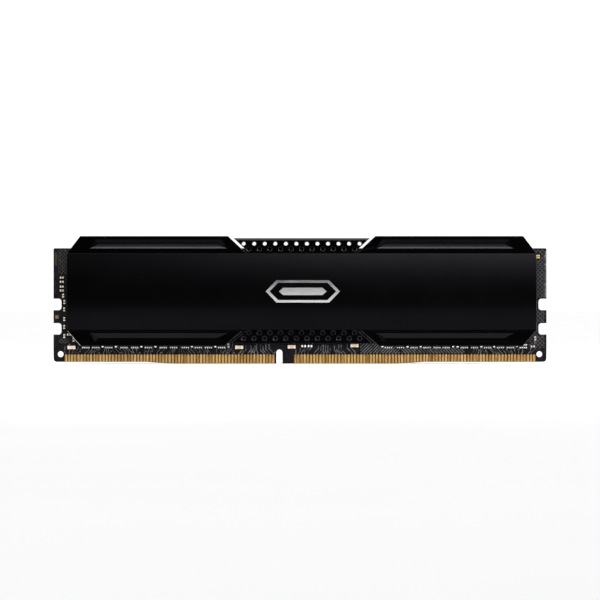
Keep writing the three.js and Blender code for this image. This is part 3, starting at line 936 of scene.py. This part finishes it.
def face_look(face):
    """The look of one face of the sheet, or none where it keeps the one that its rounding gave it."""
    spot, normal = face.calc_center_median(), face.normal
    # vent rims take the paler copy, painted highlight
    rim = -TONGUE_FACE < spot.y < -TONGUE_FACE + RIM_DEPTH and 0.3 < abs(normal.y) < 0.95
    if rim and not off_vents(spot):
        return VENT_RIM_HIGHLIGHT
    # the recesses' facets take paler copies of the satin, painted highlight
    if in_recess(spot):
        # the recesses' slanted ends take the darker copy, painted shade
        if abs(normal.x) > 0.08:
            return RECESS_END_SHADE
        if spot.z > RECESS_TOP[2][0]:
            return RECESS_SLOPE_HIGHLIGHT
        return RECESS_LIP_HIGHLIGHT if spot.z > CROWN_Z else SATIN_FACET_HIGHLIGHT
    by_corner = on_slanted_corner(spot)
    lower_left = spot.x < 0 and spot.z < BASE_SHOULDER
    # small rounded faces on the lower-left slanted corner take the painted glint
    if by_corner and lower_left and face.calc_area() < LARGEST_GLINT_FACE:
        return CORNER_GLINT
    if face.calc_area() > WIDEST_STRIP or not (by_corner or on_slit(spot)):
        # flat front faces of the bands and tongues take the darker copy, painted shade
        flat = spot.y > -BAND - 0.01 and normal.y < -0.9
        return SATIN_BAND_SHADE if flat else SATIN
    # what is left is a rounded edge at a slit's mouth or a slanted corner, which keeps its painted highlight
    return None


def heat_spreader_shape():
    """The front sheet about its own middle: the rear one is the same, turned half round."""
    sheet = prism(sheet_section(), -SHEET_HALF - 1, SHEET_HALF + 1, "X")
    past = TONGUE_TOP + CHAMFER_PAST
    outside, inside = -TONGUE_FACE - 0.3, -TONGUE_FACE + 0.7
    chamfer = [(outside, TONGUE_TOP - CHAMFER_DROP), (inside, past), (outside, past)]
    band_top, band_low = PANEL_TOP + 2 * GROOVE_RISE, PANEL_LOW - 2 * GROOVE_RISE
    cutters = [
        tongue_cutter(SLIT_TOP, band_top, -FAR, -TONGUE_FACE),
        tongue_cutter(SLIT_TOP, TONGUE_TOP, -FAR, FAR),
        tongue_cutter(SLIT_TOP, SHEET_TOP - LIP_THICK - 0.5, -INSIDE, FAR),
        tongue_cutter(SLIT_LOW, band_low, -FAR, -TONGUE_FACE),
        tongue_cutter(SLIT_LOW, TONGUE_LOW, -FAR, FAR),
        prism(chamfer, -CHAMFER_HALF, CHAMFER_HALF, "X"),
    ]
    for side in (-1, 1):
        cutters += [recess_cutter(RECESS_TOP, side), recess_cutter(RECESS_LOW, side)]
        cutters += [slit_cutter(SLIT_TOP, side), slit_cutter(SLIT_LOW, side)]
    steps = [("INTERSECT", prism(sheet_outline(), -FAR, FAR))]
    steps += [("DIFFERENCE", cutter) for cutter in cutters]
    sheet = carved(cleaned(carved(sheet, steps)), [("DIFFERENCE", vent_cutters())])
    bmesh.ops.remove_doubles(sheet, verts=sheet.verts, dist=0.002)
    # the rounding's strips take the paler satin, a painted edge highlight
    rounded = SHEET_LOOKS.index(SATIN_EDGE_HIGHLIGHT)
    sheet = softened(sheet, SHEET_SOFTENING, 11, material=rounded, where=off_vents)
    sheet.normal_update()
    for face in sheet.faces:
        look = face_look(face)
        if look is not None:
            face.material_index = SHEET_LOOKS.index(look)
    return sheet


def hexagon(half_long, half_tall, tip):
    """A long six-sided outline with a point at each end."""
    shoulder = half_long - tip
    upper = [(half_long, 0), (shoulder, half_tall), (-shoulder, half_tall)]
    return [(-x, -z) for x, z in upper] + upper


def emblem(word, side):
    """A plain long six-sided rim round a bar, let into the panel and following its crown."""
    bm = bmesh.new()
    centre_x = SHEET_X - EMBLEM_SHIFT * side

    def laid(outline, lift):
        spots = [(centre_x + a, EMBLEM_Z + b) for a, b in outline]
        return [bm.verts.new((x, side * (panel_face(z) + lift), z)) for x, z in spots]

    def walled(one, other):
        for i in range(6):
            bm.faces.new((one[i], one[(i + 1) % 6], other[(i + 1) % 6], other[i]))

    def rings(sizes):
        return [laid(hexagon(*sizes), lift) for lift in (EMBLEM_SUNK, EMBLEM_PROUD)]

    outer, inner, bar = rings(EMBLEM_OUTER), rings(EMBLEM_INNER), rings(EMBLEM_BAR)
    for outer_ring, inner_ring in zip(outer, inner):
        walled(outer_ring, inner_ring)
    for walls in (outer, inner, bar):
        walled(*walls)
    for cap in bar:
        bm.faces.new(cap)
    bmesh.ops.recalc_face_normals(bm, faces=bm.faces)
    piece(f"{word}_emblem", mesh_of(f"{word}_emblem", bm, [EMBLEM]))


def heat_spreaders():
    shape = heat_spreader_shape()
    for word, turn in (("front", 0.0), ("rear", math.pi)):
        bm = shape.copy()
        place = Matrix.Translation((SHEET_X, 0, 0)) @ Matrix.Rotation(turn, 4, "Z")
        bmesh.ops.transform(bm, matrix=place, verts=bm.verts)
        mesh = mesh_of(f"{word}_sheet", bm, SHEET_LOOKS, 32)
        piece(f"{word}_sheet", mesh, [f"{word}_heat_spreader"], weighted=True)
    shape.free()
    for word, side in SIDES:
        emblem(word, side)


# -------------------- soldered parts

def two_ended_mesh(name, size, body_look, end_look=SOLDER):
    """A chip part lying along X on the board's front face, centred on the origin."""
    length, width, height, cap = size
    body = length / 2 - cap * 0.7
    bm = rounded_box((-body, -height * 0.93, -width * 0.46), (body, -0.02, width * 0.46), 0.05)
    for side in (-1, 1):
        near, far = sorted((side * (length / 2 - cap), side * length / 2))
        rounding = min(cap, width) * 0.28
        add(bm, rounded_box((near, -height, -width / 2), (far, -0.01, width / 2), rounding, 1, 3))
        near, far = sorted((side * (length / 2 - cap), side * (length / 2 + 0.04)))
        rounding = min(0.1, height * 0.18)
        add(bm, rounded_box((near, -height * 0.42, -width * 0.47), (far, 0.0, width * 0.47), rounding, 1))
    return mesh_of(name, bm, [body_look, end_look], 60)


def network_mesh():
    """A resistor network on the front face: a black body with four soldered ends along each long side."""
    low, high = span("resistor_network_1")
    half_wide, height, half_tall = (high.x - low.x) / 2, high.y - low.y, (high.z - low.z) / 2
    body = half_tall - 0.12
    bm = rounded_box((-half_wide, -height * 0.92, -body), (half_wide, -0.02, body), 0.04)
    for i in range(NETWORK_ENDS):
        x = (i - (NETWORK_ENDS - 1) / 2) * NETWORK_PITCH
        left, right = x - NETWORK_END_HALF, x + NETWORK_END_HALF
        for side in (-1, 1):
            near, far = sorted((side * (half_tall - 0.26), side * (half_tall + 0.02)))
            add(bm, rounded_box((left, -height, near), (right, 0.0, far), 0.08, 1, 3))
    return mesh_of("network", bm, [BLACK_CERAMIC, SOLDER], 60)


def put(name, mesh, x, z, upright=False, nodes=()):
    """One copy of a soldered part at a place on the front face. An upright one lies along Z."""
    thing = piece(name, mesh, nodes)
    turn = Matrix.Rotation(math.pi / 2, 4, "Y") if upright else Matrix.Identity(4)
    thing.matrix_world = Matrix.Translation((x * MM, -FACE * MM, z * MM)) @ turn


def middle(node):
    """X and Z of the middle of a CAD node."""
    low, high = span(node)
    return (low.x + high.x) / 2, (low.z + high.z) / 2


def put_each(word, mesh, node, count, upright=False):
    """A copy of a soldered part for each of some numbered CAD nodes."""
    for i in range(1, count + 1):
        x, z = middle(f"{node}_{i}")
        put(f"{word}_{i}", mesh, x, z, upright, [f"{node}_{i}"])


def soldered_parts():
    put_each("network_part", network_mesh(), "resistor_network", 24)
    capacitor = two_ended_mesh("capacitor", CAPACITOR_SIZE, TAN_CERAMIC, CREAM_SOLDER)
    put_each("capacitor_part", capacitor, "capacitor", 4)
    resistor = two_ended_mesh("resistor", RESISTOR_SIZE, BROWN_CERAMIC, DULL_SOLDER)
    put_each("resistor_flat_part", resistor, "resistor_across", 5)
    put_each("resistor_tall_part", resistor, "resistor_upright", 9, upright=True)
    lone_z = middle("resistor_network_1")[1] + LONE_RISE
    bright = two_ended_mesh("bright_resistor", BRIGHT_RESISTOR_SIZE, BROWN_CERAMIC)
    lone = [(bright, x) for x in LONE_X] + [(resistor, DULL_LONE_X)]
    for i, (mesh, x) in enumerate(lone):
        put(f"lone_resistor_{i + 1}", mesh, x, lone_z, upright=True)
    small = two_ended_mesh("small_resistor", SMALL_RESISTOR_SIZE, BLACK_CERAMIC)
    last = [(small, *spot) for spot in BLACK_PAIR] + [(resistor, *RIGHT_END_RESISTOR)]
    for i, (mesh, x, z) in enumerate(last):
        put(f"small_resistor_{i + 1}", mesh, x, z)


def flat_pad(x0, z0, x1, z1, height, radius, material=0):
    """A flat rounded pad on the front face."""
    return rounded_box((x0, -FACE - height, z0), (x1, -FACE + 0.01, z1), radius, material)


def test_pads():
    """Flat square pads on the board's ends, and a narrow strip of copper along each of them."""
    gold = bmesh.new()
    for across in (-GOLD_PAD_OFFSET, GOLD_PAD_OFFSET):
        for up in (-GOLD_PAD_OFFSET, GOLD_PAD_OFFSET):
            x, z = GOLD_PADS[0] + across, GOLD_PADS[1] + up
            corners = (x - GOLD_PAD_HALF, z - GOLD_PAD_HALF, x + GOLD_PAD_HALF, z + GOLD_PAD_HALF)
            add(gold, flat_pad(*corners, 0.05, 0.025))
    piece("gold_test_pads", mesh_of("gold_test_pads", gold, [PAD_GOLD], 40))
    brown = flat_pad(*BROWN_PAD, 0.04, 0.02)
    add(brown, flat_pad(*BROWN_STRIP, 0.03, 0.015, 1))
    piece("brown_pads", mesh_of("brown_pads", brown, [DULL_COPPER, DIM_BROWN], 40))
    strip = flat_pad(*RIGHT_END_STRIP, 0.03, 0.012)
    piece("end_strip", mesh_of("end_strip", strip, [TRACE], 40))


# -------------------- what lies under the heat spreader

def thermal_pad(word):
    """A soft pad: rounded, with its cut edges pressed out a little unevenly."""
    low, high = span(f"{word}_thermal_pad")
    bm = bmesh.new()
    bmesh.ops.create_cube(bm, size=1.0)
    bmesh.ops.scale(bm, vec=high - low, verts=bm.verts)
    bmesh.ops.translate(bm, vec=(low + high) / 2, verts=bm.verts)
    bmesh.ops.subdivide_edges(bm, edges=bm.edges[:], cuts=PAD_CUTS, use_grid_fill=True)
    centre = (low + high) / 2
    reach = (high - low) / 2
    rng = random.Random(3)
    for vert in bm.verts:
        from_middle = Vector((vert.co[k] - centre[k]) / reach[k] for k in range(3))
        rim = 1 - from_middle.y ** 2
        bulge = (PAD_BULGE + PAD_WOBBLE * rng.random()) * rim
        vert.co.x += bulge * (abs(from_middle.x) > 0.99) * math.copysign(1, from_middle.x)
        vert.co.z += bulge * (abs(from_middle.z) > 0.99) * math.copysign(1, from_middle.z)
    mesh = mesh_of(f"{word}_soft_pad", bm, [SILICONE], 60)
    pad = piece(f"{word}_soft_pad", mesh, [f"{word}_thermal_pad"])


def chips():
    """The chips' CAD solids stay, with the resin on them."""
    for name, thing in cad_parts.items():
        if name.startswith("memory_chip") or name == "settings_chip":
            for place in thing.material_slots:
                place.material = RESIN


# -------------------- camera, lights and floor

def aim(thing, place, target):
    """Puts a camera or a light at a place, in metres, looking at a target."""
    thing.location = place
    thing.rotation_euler = (Vector(target) - Vector(place)).to_track_quat("-Z", "Y").to_euler()
    SCENE.collection.objects.link(thing)


def camera():
    """Face on to the front, level with the module's middle."""
    data = bpy.data.cameras.new("camera")
    data.lens = 200.0
    data.sensor_width = 36.0
    data.clip_start, data.clip_end = 0.01, 50.0
    view_width = 2 * END * MM / BOARD_SHARE
    distance = view_width * data.lens / data.sensor_width
    thing = bpy.data.objects.new("camera", data)
    centre = Vector((0, 0, SHEET_TOP * MM / 2))
    aim(thing, centre + Vector((0, -distance - FACE * MM, 0)), centre)
    SCENE.camera = thing


def softbox(name, place, target, size, power, spread):
    """A white area light. The spread, in degrees, is that of the grid on its front."""
    data = bpy.data.lights.new(name, "AREA")
    data.shape = "RECTANGLE"
    data.size, data.size_y = size
    data.energy = power
    data.spread = math.radians(spread)
    aim(bpy.data.objects.new(name, data), place, target)


def stage_sheet(name, corners, material):
    """A flat sheet of the studio, which is no part of the module."""
    mesh = bpy.data.meshes.new(name)
    mesh.from_pydata(corners, [], [tuple(range(len(corners)))])
    mesh.materials.append(material)
    thing = bpy.data.objects.new(name, mesh)
    SCENE.collection.objects.link(thing)


def surroundings():
    world = bpy.data.worlds.new("studio")
    world.use_nodes = True
    backdrop = world.node_tree.nodes["Background"]
    backdrop.inputs["Color"].default_value = (1.0, 1.0, 1.0, 1.0)
    backdrop.inputs["Strength"].default_value = 1.05
    SCENE.world = world
    reach = 4.0
    floor = [(-reach, -reach, 0), (reach, -reach, 0), (reach, reach, 0), (-reach, reach, 0)]
    stage_sheet("floor", floor, floor_look())
    # a dark card behind the camera, for the satin metal to reflect
    card = Look("dark_card", (0.004, 0.004, 0.004), 1.0).material
    half, high, away = 1.0, 0.207, -1.25
    corners = [(-half, away, 0), (half, away, 0), (half, away, high), (-half, away, high)]
    stage_sheet("dark_card", corners, card)
    softbox("overhead_softbox", (0, -0.27, 0.64), (0, 0, 0.03), (0.45, 0.13), 0.33, 45)
    softbox("panel_softbox", (0.115, -0.62, 0.19), (0, 0, 0.03), (0.27, 0.075), 0.10, 60)
    softbox("left_floor_softbox", (-0.32, -0.12, 0.22), (0, -0.05, 0), (0.12, 0.06), 0.04, 45)
    softbox("right_floor_softbox", (0.32, -0.12, 0.22), (0, -0.05, 0), (0.12, 0.06), 0.10, 45)
    SCENE.view_settings.view_transform = "Standard"


circuit_board()
contacts()
tracks(FRONT, "front", FRONT_TRACKS)
tracks(REAR, "rear", REAR_TRACKS)
lattice()
heat_spreaders()
soldered_parts()
test_pads()
thermal_pad("front")
thermal_pad("rear")
chips()
camera()
surroundings()
